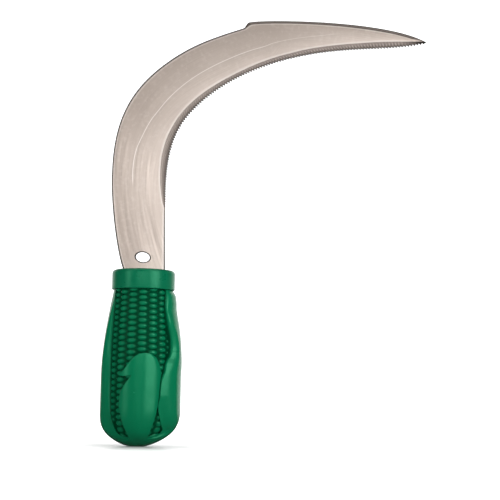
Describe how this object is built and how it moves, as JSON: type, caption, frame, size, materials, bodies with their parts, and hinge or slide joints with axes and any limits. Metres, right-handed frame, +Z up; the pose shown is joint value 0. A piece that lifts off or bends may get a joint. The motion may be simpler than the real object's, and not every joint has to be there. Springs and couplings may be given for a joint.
{
  "type": "hand sickle",
  "caption": "Saw-toothed hooked steel blade in a moulded maize-cob handle, for reaping by hand.",
  "frame": {"origin": "centre of the flat at the base of the handle, in the plane of the blade", "axes": "+Z up the handle's axis towards the blade, +X from the handle towards the point of the blade, +Y from the bevelled face to the flat face of the blade"},
  "size_m": [0.208, 0.0452, 0.2805],
  "materials": {
    "blade_steel": "satin ground spring steel with a saw-cut bevel",
    "core_plastic": "moulded, unseen",
    "rivet_steel": "plain steel, unseen",
    "grip_plastic": "glossy green moulding",
    "collar_plastic": "glossy green moulding"
  },
  "bodies": {
    "root": {"blade": "blade_steel", "core_front": "core_plastic", "core_back": "core_plastic", "tang_rivets": "rivet_steel", "rivet_burrs": "rivet_steel", "grip_front": "grip_plastic", "grip_back": "grip_plastic", "collar": "collar_plastic"}
  },
  "joints": []
}
